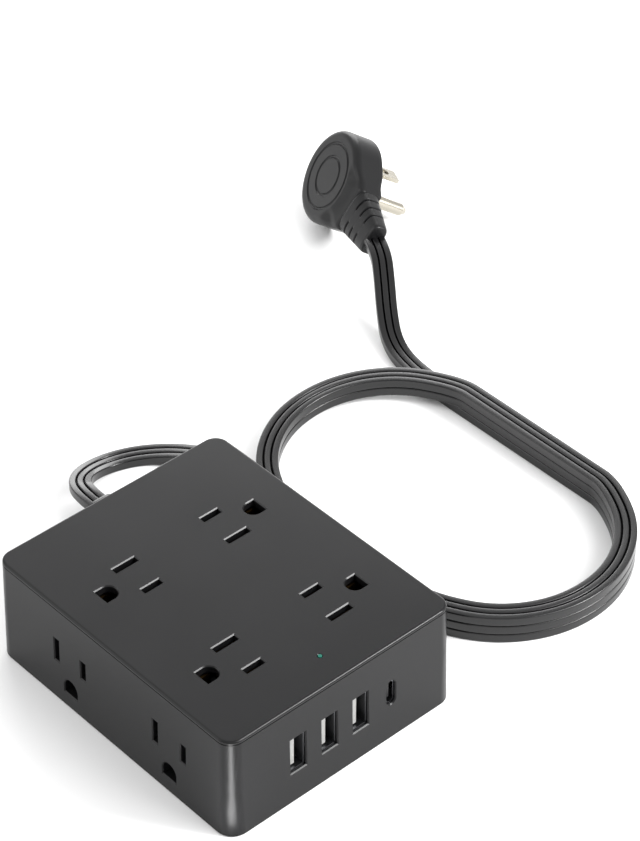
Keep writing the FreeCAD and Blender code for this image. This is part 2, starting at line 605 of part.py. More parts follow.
def usb_block():
    nodes = []
    front = "usbBoardX + boardThick"
    nodes.append(span("usb_board", ("usbBoardX", "0 - 24", BASE_TOP), (front, "25", "caseHeight - 6")))
    for name, y, long_side, short_side in usb_ports():
        face = "caseLength / 2 + draftStep * (1 - usbZ / caseHeight) - shellSink"
        outer = port_shape(f"{name}_outer", front, face, y, long_side, short_side, "0")
        inner = port_shape(f"{name}_inner", f"{front} + 1", f"({face}) + 1", y, long_side, short_side,
                           "0 - shellSheet")
        nodes.append(cut(f"{name}_shell", outer, inner))
        side, width, margin, sink = ("", "0.35", "1.5", "0.8") if name == "usb_c" else ("- 0.95", "0.92", "1", "1.2")
        nodes.append(span(f"{name}_tongue",
                          (f"{front} + 1", f"{y} {side} - {width}", f"usbZ - {long_side} / 2 + {margin}"),
                          (f"({face}) - {sink}", f"{y} {side} + {width}", f"usbZ + {long_side} / 2 - {margin}")))
    lamp = fuse("lamp_led", [
        cylinder("led_body", ("lampX", "0 * lampX", "25.6"), "1.5", "4"),
        cylinder("led_flange", ("lampX", "0 * lampX", "25.6"), "1.9", "0.8"),
        span("led_legs", (front, "0 - 0.9", "26"), ("lampX", "0.9", "26.5"))])
    nodes.append(lamp)
    nodes.append(fuse("light_pipe", [
        cylinder("pipe_rod", ("lampX", "0 * lampX", "29.9"), "lampRadius", "caseHeight - 29.9"),
        cylinder("pipe_collar", ("lampX", "0 * lampX", "29.9"), "2", f"({COVER_UNDER}) - 29.9")]))
    return nodes


def breaker():
    """Recessed push-to-reset overload breaker behind the cord face."""
    face = "0 - caseLength / 2 - 0.3"
    back = "0 - caseLength / 2 + sideWall + 2.4"
    bezel = cut("reset_bezel", cylinder("bezel_blank", (face, "resetY", "resetZ"), "bezelRadius",
                                        f"({back}) - ({face})", "x"),
                [cylinder("bezel_cup", (f"{face} - 1", "resetY", "resetZ"), "bezelRadius - 1.6", "4.6", "x"),
                 cylinder("bezel_bore", (face, "resetY", "resetZ"), "resetRadius + resetClear", "9", "x")])
    low = [back, "resetY - 6.4", "resetZ - 5.3"]
    high = [f"({back}) + 26", "resetY + 6.4", "resetZ + 5.3"]
    body = cut("breaker_body", span("breaker_blank", low, high),
               [cylinder("breaker_bore", (f"{back} - 1", "resetY", "resetZ"), "resetRadius + resetClear", "8", "x"),
                cylinder("breaker_eye", (f"{back} + 6", "resetY", "resetZ"), "1.9", "9", "x")])
    button = fuse("reset_button", [
        cylinder("button_cap", (f"{face} + 0.2", "resetY", "resetZ"), "resetRadius", f"({back}) - ({face}) + 3.6", "x"),
        cylinder("button_stem", (f"{back} + 3", "resetY", "resetZ"), "1.5", "7.5", "x")])
    return [bezel, body, button]


def round_wire(at, along, radius):
    return Part.Wire(Part.makeCircle(radius, Vector(*at), Vector(*along)))


def inlet_wires():
    """Line to the breaker, neutral and ground down to the surge board."""
    start = -size("caseLength") / 2 + size("sideWall") + 2.5
    y, z = VALUE["cordY"], VALUE["cordZ"] + 2.2
    top = size(BOARD_TOP)
    side = size("resetY + 6.4")
    routes = {
        "line_wire": [(start, y - 2.5, z), (start + 6, y - 2.5, z), (start + 6, y - 10.5, z + 4.8),
                      (start + 6, side, z + 4.8)],
        "ground_wire": [(start, y, z), (start + 12, y, z), (start + 12, y, top)],
        "neutral_wire": [(start, y + 2.5, z), (start + 12, y + 2.5, z), (start + 12, y + 2.5, top)],
    }
    nodes = []
    for name, route in routes.items():
        ahead = [b - a for a, b in zip(*route[:2])]
        nodes.append(tube(name, route, round_wire(route[0], ahead, 0.9)))
    return nodes


# ---------------------------------------------------------------- cord
def upright_rectangle(label, x, width, thick, y=0.0, z=0.0):
    """Rectangle standing across X, an end of a tapered sleeve."""
    obj = doc.addObject("Part::Feature", label)
    ring = [Vector(x, y + a * width / 2, z + b * thick / 2) for a, b in ((1, 1), (-1, 1), (-1, -1), (1, -1))]
    obj.Shape = Part.makePolygon(ring + ring[:1])
    return obj


def case_strain_relief():
    """Moulded sleeve: inner flange, neck through the wall and a grooved taper outside."""
    wall = -size("caseLength") / 2 - VALUE["draftStep"]
    inner = -size("caseLength") / 2 + VALUE["sideWall"]
    tip = wall - VALUE["reliefLength"]
    centre = (VALUE["cordY"], VALUE["cordZ"])
    taper = loft("relief_taper", [upright_rectangle("relief_root", wall, 14.0, 8.6, *centre),
                                  upright_rectangle("relief_end", tip, 10.4, 5.4, *centre)])
    grooves = []
    for i in range(3):
        x = f"{wall - 8 - 4.6 * i}"
        for side in (-1, 1):
            grooves.append(box(f"relief_groove_{i}_{side}", (x, f"cordY + {side * 6.5} - 2.4", "cordZ - 6"),
                               ("1.3", "4.8", "12")))
            grooves.append(box(f"relief_notch_{i}_{side}", (x, "cordY - 9", f"cordZ + {side * 4.4} - 1.3"),
                               ("1.3", "18", "2.6")))
    outside = cut("relief_grooved", taper, grooves)
    neck = box("relief_neck", (f"{wall}", "cordY - 5.5", "cordZ - 3.5"), (f"{inner - wall}", "11", "7"))
    flange = box("relief_flange", (f"{inner}", "cordY - 7.5", "cordZ - 5.2"), ("2.5", "15", "10.4"))
    return fuse("case_strain_relief", [outside, neck, flange]), tip


def coil_block():
    """Outer shape of the stacked turns: a closed racetrack ring."""
    height = "2 * turnPitch + cordThick"

    def racetrack(tag, radius, low, high):
        ends = [cylinder(f"coil_{tag}_{i}", (x, "coilY", low), radius, f"({high}) - ({low})")
                for i, x in enumerate(("coilX", "coilX + coilStraight"))]
        bar = span(f"coil_{tag}_bar", ("coilX", f"coilY - ({radius})", low),
                   ("coilX + coilStraight", f"coilY + ({radius})", high))
        return fuse(f"coil_{tag}", ends + [bar])

    outer = racetrack("outer", "coilRadius", "0 * coilX", height)
    return cut("cord_coil", outer, racetrack("hole", "coilRadius - cordWidth", "0 - 1", f"{height} + 1")), outer


def free_cord(outline, lead_start, plug_exit, exit_way):
    """Lead from the case and tail from the plug, each cut where it meets the coil's outline."""
    rest = VALUE["cordThick"] / 2 + 0.01
    level = 2 * VALUE["turnPitch"] + rest - 0.1
    near = VALUE["coilY"] - VALUE["coilRadius"] + VALUE["cordWidth"] / 2
    far = VALUE["coilY"] + VALUE["coilRadius"] - VALUE["cordWidth"] / 2
    left = VALUE["coilX"]
    lead = [lead_start, step_on(lead_start, (-1, 0, 0), 8.0), (-95.4, 18.8, 6.4), (-99.8, 26.4, 3.6),
            (-100.8, 35.5, rest), (-97.4, 44.6, rest), (-90.4, 52.4, 2.8), (-80.8, 57.6, 5.0),
            (-68.0, near - 0.5, 8.0), (-51.0, near, level), (left - 2.0, near + 0.5, level)]
    tail = [plug_exit, step_on(plug_exit, exit_way, 8.0), (-101.0, 162.4, 13.6), (-93.0, 156.2, 7.4),
            (-84.0, 150.2, 3.0), (-72.5, far + 1.2, rest), (-54.0, far, rest), (left - 4.0, far - 0.5, rest)]
    nodes = []
    for name, route in (("cord_lead", lead), ("cord_tail", tail)):
        ahead = [b - a for a, b in zip(*route[:2])]
        whole = tube(f"{name}_whole", route, flat_section(route[0], ahead), Vector(0, 0, 1))
        nodes.append(cut(name, whole, outline))
    return nodes


# ---------------------------------------------------------------- plug
def plug_pose():
    """The plug lies on its rim and one blade tip, ringed face up and outwards."""
    lean = math.atan((VALUE["plugRadius"] - VALUE["slotPitch"] / 2 - VALUE["bladeThick"] / 2) / VALUE["bladeLength"])
    turn = math.radians(VALUE["plugTurn"])
    way = Vector(math.cos(turn), math.sin(turn), 0)
    outward = Vector(way.y, -way.x, 0) * math.cos(lean) + Vector(0, 0, math.sin(lean))
    rise = VALUE["plugRadius"] * math.cos(lean) + VALUE["plugThick"] / 2 * math.sin(lean) + 0.02
    centre = Vector(VALUE["plugX"], VALUE["plugY"], rise)
    turned = Rotation(way, outward.cross(way), outward, "ZXY")
    return Placement(centre, turned), way


def plug():
    """Plug pieces in the plug's own frame: X to the cord, Z out of the ringed face."""
    pose, way = plug_pose()
    top, under = "plugThick / 2", "0 - plugThick / 2"
    disc = cylinder("plug_disc", ("0 * plugX", "0 * plugX", under), "plugRadius", "plugThick")
    doc.recompute()
    soft = doc.addObject("Part::Fillet", "plug_disc_soft")
    soft.Base = disc
    high = VALUE["plugThick"] / 2
    step = VALUE["plugRound"]
    soft.Edges = [(i, step, step) for i, edge in enumerate(disc.Shape.Edges, start=1)
                  if abs(edge.BoundBox.ZMin - high) < 1e-4]
    neck = [upright_rectangle("neck_root", 6.0, 2 * VALUE["plugRadius"] - 3.0, VALUE["neckThick"]),
            upright_rectangle("neck_end", VALUE["plugNeck"], VALUE["neckWidth"], VALUE["neckThick"])]
    rings = []
    for tag, radius in (("inner", "ringInner"), ("outer", "ringOuter")):
        floor = ("0 * plugX", "0 * plugX", f"{top} - ringDepth")
        wide = cylinder(f"ring_{tag}_wide", floor, f"{radius} + ringWidth / 2", "2")
        core = cylinder(f"ring_{tag}_core", ("0 * plugX", "0 * plugX", f"{top} - 2"), f"{radius} - ringWidth / 2", "5")
        rings.append(cut(f"ring_{tag}", wide, core))
    body = cut("plug_body", fuse("plug_blank", [soft, loft("plug_neck", neck)]), rings)

    ends = [upright_rectangle("sleeve_root", VALUE["plugNeck"], VALUE["neckWidth"], VALUE["neckThick"]),
            upright_rectangle("sleeve_end", VALUE["plugReach"], VALUE["tipWidth"], VALUE["tipThick"])]
    grooves = []
    for i in range(3):
        x = f"plugNeck + 3.4 + {4.6 * i}"
        for side in (-1, 1):
            low = (x, f"{side * (9.6 - 0.8 * i)} - 3.2", "0 - 8")
            grooves.append(box(f"sleeve_groove_{i}_{side}", low, ("1.2", "6.4", "16")))
            low = (x, "0 - 10", f"{side * (5.3 - 0.4 * i)} - 1.2")
            grooves.append(box(f"sleeve_notch_{i}_{side}", low, ("1.2", "20", "2.4")))
    sleeve = cut("plug_strain_relief", loft("sleeve_taper", ends), grooves)
    blades = []
    for name, side, width in (("line_blade", 1, "lineBladeWidth"), ("neutral_blade", -1, "neutralBladeWidth")):
        edge = f"{side} * slotPitch / 2 - bladeThick / 2"
        low = (f"pinReach - groundDrop - {width} / 2", edge, f"{under} - bladeLength")
        sheet_metal = box(f"{name}_blank", low, (width, "bladeThick", "bladeLength"))
        eye = cylinder(f"{name}_eye", ("pinReach - groundDrop", f"{edge} - 1", f"{under} - bladeLength + 5.5"),
                       "1.6", "bladeThick + 2", "y")
        blades.append(cut(name, sheet_metal, eye))
    tip = doc.addObject("Part::Cone", "pin_tip")
    bind(tip, "Radius1", "pinRadius - 1.1")
    bind(tip, "Radius2", "pinRadius")
    bind(tip, "Height", "2 + 0 * pinRadius")
    locate(tip, ("pinReach", "0 * plugX", f"{under} - pinLength"))
    rod = cylinder("pin_rod", ("pinReach", "0 * plugX", f"{under} - pinLength + 2"), "pinRadius", "pinLength - 2")
    nodes = [body, sleeve] + blades + [fuse("ground_pin", [rod, tip])]
    for node in nodes:
        node.Placement = pose
    return nodes, pose, way


# ---------------------------------------------------------------- build
nodes = [side_shell(), top_cover(), bottom_cover(), case_screws(), rubber_feet()]
for row_name in ROWS:
    nodes.append(contact_tray(row_name))
    nodes += [contact_bar(row_name, role) for role in ("line", "neutral", "ground")]
nodes.append(tray_screws())
nodes += electronics() + usb_block() + breaker() + inlet_wires()
relief, relief_tip = case_strain_relief()
coil_node, coil_outline = coil_block()
plug_nodes, pose, way = plug()
doc.recompute()
exit_point = pose.multVec(Vector(VALUE["plugReach"], 0, 0))
nodes += [relief, coil_node]
nodes += free_cord(coil_outline, (relief_tip, VALUE["cordY"], VALUE["cordZ"]), tuple(exit_point), tuple(way))
nodes += plug_nodes
doc.recompute()

os.makedirs("parts", exist_ok=True)
for obj in doc.Objects:
    if "Invalid" in obj.State or "Error" in obj.State:
        raise RuntimeError(f"{obj.Name} did not compute: {obj.State}")
for node in nodes:
    shape = node.Shape
    if shape.isNull() or not shape.isValid() or shape.Volume < 0.1:
        raise RuntimeError(f"{node.Name} has no valid solid")
    shape.exportStep(f"parts/{node.Name}.step")
print(f"{len(nodes)} nodes, bodies in the largest group: {max(len(n.Shape.Solids) for n in nodes)}")
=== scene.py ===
import bpy
import json
import math
import numpy as np
from mathutils import Matrix, Vector


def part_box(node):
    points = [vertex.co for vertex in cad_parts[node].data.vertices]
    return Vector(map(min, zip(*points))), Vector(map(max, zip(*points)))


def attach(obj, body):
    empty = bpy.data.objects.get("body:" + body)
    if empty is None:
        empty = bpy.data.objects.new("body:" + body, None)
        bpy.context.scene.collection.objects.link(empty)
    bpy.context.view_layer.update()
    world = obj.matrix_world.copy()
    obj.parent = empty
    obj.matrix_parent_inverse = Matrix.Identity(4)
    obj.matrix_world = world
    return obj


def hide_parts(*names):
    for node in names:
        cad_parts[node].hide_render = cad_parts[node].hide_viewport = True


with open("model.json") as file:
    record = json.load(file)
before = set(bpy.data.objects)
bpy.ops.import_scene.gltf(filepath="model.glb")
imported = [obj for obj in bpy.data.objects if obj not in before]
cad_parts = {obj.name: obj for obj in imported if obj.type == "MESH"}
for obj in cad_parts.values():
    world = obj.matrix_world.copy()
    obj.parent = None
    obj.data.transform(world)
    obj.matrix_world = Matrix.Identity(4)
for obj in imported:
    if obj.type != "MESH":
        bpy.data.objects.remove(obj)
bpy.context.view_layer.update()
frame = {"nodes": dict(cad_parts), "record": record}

MM = 0.001


def linear(hex_colour):
    """sRGB hex such as 2b2b2d to linear red, green, blue and full alpha."""
    c = np.array([int(hex_colour[i:i + 2], 16) for i in (0, 2, 4)]) / 255
    c = np.where(c <= 0.04045, c / 12.92, ((c + 0.055) / 1.055) ** 2.4)
    return (*c.tolist(), 1.0)


# ---------------------------------------------------------------- camera
def make_camera():
    """Looks along -back at the front corner from above; a hair of roll keeps its upright edges true."""
    turn, lift, roll = (math.radians(a) for a in (47.709, 39.360, 0.110))
    back = Vector((math.sin(turn) * math.cos(lift), -math.cos(turn) * math.cos(lift), math.sin(lift)))
    level = Vector((math.cos(turn), math.sin(turn), 0))
    rise = back.cross(level)
    right = level * math.cos(roll) + rise * math.sin(roll)
    up = back.cross(right)
    data = bpy.data.cameras.new("camera")
    data.lens = 125.22
    data.sensor_width = 36
    data.clip_start = 0.05
    cam = bpy.data.objects.new("camera", data)
    place = Matrix((right, up, back)).transposed().to_4x4()
    place.translation = (0.50195, -0.41693, 0.63559)
    cam.matrix_world = place
    bpy.context.collection.objects.link(cam)
    bpy.context.scene.camera = cam


# ------------------------------------------------------------- materials
def add(tree, kind, links=(), **settings):
    """One node; settings name its attributes or sockets, links are (socket, from node, from socket)."""
    node = tree.nodes.new(kind)
    for key, value in settings.items():
        if key in node.inputs:
            node.inputs[key].default_value = value
        elif hasattr(node, key):
            setattr(node, key, value)
        else:
            node.inputs[key.replace("_", " ")].default_value = value
    for socket, source, output in links:
        tree.links.new(source.outputs[output], node.inputs[socket])
    return node


def finish_of(name, base, roughness, metallic=0.0, gloss=0.5, grain=0.0, grain_mm=0.3, cloud=0.0,
              shade=None, wear=0.0):
    """Principled finish. gloss is the specular level, 0.5 for a plain dielectric. grain is the bump
    height in mm of a moulded or drawn texture grain_mm across. cloud varies the roughness over a few
    centimetres as handling does, shade is a second colour that the base drifts to, and wear is how far
    fine scuffs change the roughness."""
    material = bpy.data.materials.new(name)
    material.use_nodes = True
    tree = material.node_tree
    tree.nodes.clear()
    out = add(tree, "ShaderNodeOutputMaterial")
    shader = add(tree, "ShaderNodeBsdfPrincipled", Metallic=metallic, IOR=1.5, Roughness=roughness)
    shader.inputs["Specular IOR Level"].default_value = gloss
    shader.inputs["Base Color"].default_value = linear(base)
    tree.links.new(shader.outputs[0], out.inputs[0])
    place = add(tree, "ShaderNodeTexCoord")
    if cloud or wear:
        broad = add(tree, "ShaderNodeTexNoise", [("Vector", place, "Object")], Scale=28.0, Detail=3.0)
        level = add(tree, "ShaderNodeMapRange", [("Value", broad, "Fac")])
        level.inputs["From Min"].default_value = 0.3
        level.inputs["From Max"].default_value = 0.7
        level.inputs["To Min"].default_value = roughness - cloud
        level.inputs["To Max"].default_value = roughness + cloud
        last = (level, "Result")
        if wear:
            fine = add(tree, "ShaderNodeTexNoise", [("Vector", place, "Object")], Scale=900.0,
                       Detail=4.0)
            scuff = add(tree, "ShaderNodeMapRange", [("Value", fine, "Fac")])
            scuff.inputs["From Min"].default_value = 0.45
            scuff.inputs["From Max"].default_value = 0.65
            scuff.inputs["To Min"].default_value = 0.0
            scuff.inputs["To Max"].default_value = wear
            both = add(tree, "ShaderNodeMath", [(0, level, "Result"), (1, scuff, "Result")],
                       operation="ADD")
            last = (both, "Value")
        tree.links.new(last[0].outputs[last[1]], shader.inputs["Roughness"])
    if shade:
        patch = add(tree, "ShaderNodeTexNoise", [("Vector", place, "Object")], Scale=45.0, Detail=2.0)
        blend = add(tree, "ShaderNodeMix", [("Factor", patch, "Fac")], data_type="RGBA")
        colour_in, colour_out = [s for s in blend.inputs if s.type == "RGBA"], blend.outputs[2]
        colour_in[0].default_value = linear(base)
        colour_in[1].default_value = linear(shade)
        tree.links.new(colour_out, shader.inputs["Base Color"])
    if grain:
        pits = add(tree, "ShaderNodeTexNoise", [("Vector", place, "Object")],
                   Scale=1000.0 / grain_mm, Detail=2.0, Roughness=0.6)
        bump = add(tree, "ShaderNodeBump", [("Height", pits, "Fac")], Strength=1.0, Distance=grain * MM)
        tree.links.new(bump.outputs[0], shader.inputs["Normal"])
    return material


def glow(name, base, strength):
    """Clear tinted lens that is lit from inside."""
    material = bpy.data.materials.new(name)
    material.use_nodes = True
    shader = material.node_tree.nodes["Principled BSDF"]
    shader.inputs["Base Color"].default_value = linear(base)
    shader.inputs["Emission Color"].default_value = linear(base)
    shader.inputs["Emission Strength"].default_value = strength
    shader.inputs["Roughness"].default_value = 0.2
    return material


FINISH = {
    # moulded ABS with a fine spark-eroded texture: dark, with a broad soft sheen
    "case_plastic": finish_of("moulded_abs_case", "101011", 0.3, gloss=0.19, grain=0.005, grain_mm=0.28,
                              cloud=0.015, shade="131314"),
    "cover_plastic": finish_of("moulded_abs_cover", "101011", 0.3, gloss=0.23, grain=0.005, grain_mm=0.28,
                               cloud=0.015, shade="131314"),
    # polypropylene base and breaker mouldings, duller than the case
    "base_plastic": finish_of("moulded_polypropylene", "1d1d1e", 0.55, grain=0.01, grain_mm=0.5, cloud=0.05),
    "button_plastic": finish_of("moulded_button", "161617", 0.35, grain=0.003, grain_mm=0.3),
    # zinc-plated steel screws
    "screw_steel": finish_of("zinc_plated_steel", "b9bcc0", 0.32, metallic=1.0, cloud=0.08, wear=0.15),
    "foot_rubber": finish_of("moulded_rubber", "1a1a1a", 0.75, grain=0.01, grain_mm=0.4),
    "tray_plastic": finish_of("moulded_nylon", "1c1c1e", 0.5, cloud=0.05, shade="202022"),
    # rolled brass contact sheet, its base darkened as painted shade for the dark deep in the slots: only a
    # warm glint shows there
    "contact_brass": finish_of("rolled_brass_painted_shade", "6a5431", 0.36, metallic=1.0, cloud=0.06, shade="5a4526"),
    # nickel-plated brass blades, with fine marks from being pushed in
    "blade_nickel": finish_of("nickel_plated_brass", "b5b0a4", 0.26, metallic=1.0, cloud=0.03, wear=0.03),
    "board_laminate": finish_of("solder_mask", "1f5a35", 0.35, cloud=0.06, shade="1b4f2f", grain=0.004,
                                grain_mm=0.8),
    "disc_ceramic": finish_of("lacquered_disc", "2a4d9c", 0.35, cloud=0.05, grain=0.01, grain_mm=1.2),
    "capacitor_yellow": finish_of("film_capacitor_case", "d9b02a", 0.3, cloud=0.04),
    "can_aluminium": finish_of("drawn_aluminium", "b9bcc2", 0.3, metallic=1.0, cloud=0.06),
    "fuse_ceramic": finish_of("glazed_ceramic", "d6cfbf", 0.3, cloud=0.05),
    "core_iron": finish_of("sintered_ferrite", "3a3a3c", 0.6, grain=0.02, grain_mm=0.5),
    "winding_tape": finish_of("polyester_tape", "d6b33a", 0.3, cloud=0.05),
    # nickel-plated steel port shells, their base darkened as painted shade for the dark inside the ports
    "port_steel": finish_of("nickel_plated_steel_painted_shade", "6c6d70", 0.28, metallic=1.0, cloud=0.04),
    # insulator of the type A ports, its white greyed down as painted shade for its place inside the port, and
    # the black one of the type C port
    "tongue_plastic": finish_of("moulded_tongue_painted_shade", "8c8c8a", 0.4, cloud=0.04),
    "tongue_dark": finish_of("moulded_dark_tongue", "0f0f10", 0.4, cloud=0.04),
    "lamp_lens": glow("lit_lens", "10594c", 0.12),
    "line_insulation": finish_of("black_pvc", "151515", 0.4),
    "neutral_insulation": finish_of("white_pvc", "e4e4e0", 0.4),
    "ground_insulation": finish_of("green_pvc", "1f7a3a", 0.4),
    # extruded flexible PVC: smooth along its ribs, slightly waxy
    "cord_rubber": finish_of("extruded_pvc", "0a0a0b", 0.25, gloss=0.46, grain=0.002, grain_mm=0.5,
                             cloud=0.03),
    # moulded flexible PVC of the plug, a finer satin than the cord
    "plug_vinyl": finish_of("moulded_pvc", "121213", 0.34, gloss=0.26, grain=0.005, grain_mm=0.3, cloud=0.03),
}


# ---------------------------------------------------------------- meshes
def skin(name, grid, slot):
    """Tube from a grid of points (rows along, columns round), in metres. The last column joins the
    first, and one face each closes the first and last rows."""
    rows, cols = grid.shape[:2]
    i, j = np.meshgrid(np.arange(rows - 1), np.arange(cols), indexing="ij")
    k = (j + 1) % cols
    quads = np.stack([i * cols + j, i * cols + k, (i + 1) * cols + k, (i + 1) * cols + j], -1).reshape(-1, 4)
    faces = quads.tolist()
    faces.append(list(range(cols))[::-1])
    faces.append([(rows - 1) * cols + c for c in range(cols)])
    mesh = bpy.data.meshes.new(name)
    mesh.from_pydata(grid.reshape(-1, 3).tolist(), [], faces)
    mesh.polygons.foreach_set("use_smooth", np.ones(len(mesh.polygons), bool))
    mesh.update()
    obj = bpy.data.objects.new(name, mesh)
    bpy.context.collection.objects.link(obj)
    mesh.materials.append(FINISH[slot])
    return obj


def crease(obj, degrees):
    """Splits shading at edges sharper than this, and keeps flat faces flat beside their roundings."""
    split = obj.modifiers.new("crease", "EDGE_SPLIT")
    split.split_angle = math.radians(degrees)
    weigh = obj.modifiers.new("weigh", "WEIGHTED_NORMAL")
    weigh.keep_sharp = True


def sections(path, across, over, half_width, half_thick, profile):
    """Carries a closed profile (columns: share of half width, share of half thickness) along a path.
    Each ring is path + across * half_width * p0 + over * half_thick * p1."""
    w = np.asarray(half_width)[:, None, None] * profile[None, :, :1]
    t = np.asarray(half_thick)[:, None, None] * profile[None, :, 1:]
    return path[:, None, :] + across[:, None, :] * w + over[:, None, :] * t


def rounded_profile(count, power):
    """Superellipse: |x|^power + |y|^power = 1, walked once round anticlockwise."""
    a = np.linspace(0, 2 * np.pi, count, endpoint=False)
    c, s = np.cos(a), np.sin(a)
    return np.stack([np.sign(c) * np.abs(c) ** (2 / power), np.sign(s) * np.abs(s) ** (2 / power)], 1)


# ------------------------------------------------------------------ cord
CORD_WIDTH, CORD_THICK, TURN = 7.5, 3.4, 3.5
COIL_LEFT, COIL_RIGHT, COIL_Y, COIL_MID = -34.0, 14.7, 103.4, 41.85
REST = CORD_THICK / 2 + 0.01
NEAR, FAR = COIL_Y - COIL_MID, COIL_Y + COIL_MID
PLUG_AT = Vector((-153.0, 189.0, 0))
PLUG_TURN = math.radians(-25.0)
PLUG_RADIUS, PLUG_THICK, PLUG_NECK, PLUG_REACH = 18.0, 12.0, 22.0, 40.0
RELIEF_FROM, RELIEF_TO = (-55.35, 14.5, 9.0), (-79.95, 14.5, 9.0)


def plug_frame():
    """X towards the cord, Z out of the ringed face; the plug leans on its rim and its neutral blade."""
    lean = math.atan((PLUG_RADIUS - 12.7 / 2 - 1.52 / 2) / 17.5)
    way = Vector((math.cos(PLUG_TURN), math.sin(PLUG_TURN), 0))
    outward = Vector((way.y, -way.x, 0)) * math.cos(lean) + Vector((0, 0, math.sin(lean)))
    rise = PLUG_RADIUS * math.cos(lean) + PLUG_THICK / 2 * math.sin(lean) + 0.02
    side = outward.cross(way)
    return np.array(PLUG_AT) + (0, 0, rise), np.array([way, side, outward])


def coil_points():
    """Two and a half turns from the box's end of the cord to the plug's end: each turn runs near side,
    right bend, far side, left bend. A bend has six points on a circle whose spline has the coil's
    middle radius. The cord drops by one layer along each left bend."""
    reach = COIL_MID / math.cos(math.radians(15))
    bend = np.radians(np.arange(-75, 76, 30))
    drop = np.array([0.02, 0.12, 0.34, 0.62, 0.86, 0.98])
    points = []
    for level in (2, 1, 0):
        z = REST + level * TURN
        if level < 2:
            points.append((COIL_LEFT, NEAR, z))
        points.append((COIL_RIGHT, NEAR, z))
        points += [(COIL_RIGHT + reach * math.cos(a), COIL_Y + reach * math.sin(a), z) for a in bend]
        points.append((COIL_RIGHT, FAR, z))
        points.append((COIL_LEFT, FAR, z))
        if level:
            points += [(COIL_LEFT - reach * math.cos(a), COIL_Y - reach * math.sin(a), z - TURN * d)
                       for a, d in zip(bend, drop)]
    return points


def cord_points():
    """The route's points, box to plug, in mm: lead, coil and tail."""
    middle, axes = plug_frame()
    plug_exit = middle + axes[0] * PLUG_REACH
    level = 2 * TURN + REST
    lead = [RELIEF_TO, (RELIEF_TO[0] - 8.0, 14.5, 9.0), (-95.4, 18.8, 6.4), (-99.8, 26.4, 3.6),
            (-100.8, 35.5, REST), (-97.4, 44.6, REST), (-90.4, 52.4, 2.8), (-80.8, 57.6, 5.0),
            (-68.0, NEAR - 0.5, 8.0), (-51.0, NEAR, level), (COIL_LEFT - 2.0, NEAR, level)]
    tail = [(-54.0, FAR, REST), (-72.5, FAR + 1.2, REST), (-84.0, 150.2, 3.0), (-93.0, 156.2, 7.4),
            (-101.0, 162.4, 13.6), tuple(plug_exit + axes[0] * 8.0), tuple(plug_exit)]
    return lead + coil_points() + tail


def smooth_line(points):
    """Points along one open NURBS curve of order 3 with these control points, in metres."""
    curve = bpy.data.curves.new("cord_route", "CURVE")
    curve.dimensions = "3D"
    spline = curve.splines.new("NURBS")
    spline.points.add(len(points) - 1)
    flat = np.hstack([np.array(points, float) * MM, np.ones((len(points), 1))])
    spline.points.foreach_set("co", flat.ravel())
    spline.order_u = 3
    spline.use_endpoint_u = True
    spline.resolution_u = 12
    curve.resolution_u = 12
    holder = bpy.data.objects.new("cord_route", curve)
    mesh = bpy.data.meshes.new_from_object(holder)
    line = np.empty(len(mesh.vertices) * 3)
    mesh.vertices.foreach_get("co", line)
    bpy.data.objects.remove(holder)
    bpy.data.meshes.remove(mesh)
    return line.reshape(-1, 3)


def rib_profile():
    """Section of the flat cord, as shares of its half width and half thickness, mirrored from one
    quarter: three slightly crowned ribs, a groove on each side of the middle one, and rounded outer
    corners. The height at share y is 1 less a narrow bell at y = 1/3, less a parabola over each rib,
    less a quarter ellipse at the corner."""
    y = np.concatenate([np.linspace(1, 0.9, 8), np.linspace(0.87, 0.52, 6), np.linspace(0.48, 0.19, 17),
                        np.linspace(0.16, 0, 4)])
    groove_depth, groove_width = 0.6, 0.062
    crown_height, corner_drop, corner_start = 0.05, 0.34, 0.9
    groove = groove_depth * np.exp(-((y - 1 / 3) / groove_width) ** 2)
    crown = crown_height * (((y * 3 + 1) % 2) - 1) ** 2
    corner = np.clip((y - corner_start) / 0.1, 0, 1)
    height = (1 - groove - crown) - corner_drop * (1 - np.sqrt(1 - corner ** 2))
    top = np.stack([y, height], 1)
    quarter = np.vstack([top, (top * (-1, 1))[::-1][1:]])
    return np.vstack([quarter, quarter[::-1] * (1, -1)])


def make_cord():
    """The whole cord as one piece: the ribbed section carried along the route, with its broad side level."""
    line = smooth_line(cord_points())
    ahead = np.gradient(line, axis=0)
    ahead /= np.linalg.norm(ahead, axis=1)[:, None]
    across = np.cross((0, 0, 1), ahead)
    across /= np.linalg.norm(across, axis=1)[:, None]
    over = np.cross(ahead, across)
    ones = np.ones(len(line))
    grid = sections(line, across, over, ones * CORD_WIDTH / 2 * MM, ones * CORD_THICK / 2 * MM, rib_profile())
    cord = skin("ribbed_cord", grid, "cord_rubber")
    crease(cord, 50)
    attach(cord, "case")
    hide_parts("cord_lead", "cord_coil", "cord_tail")


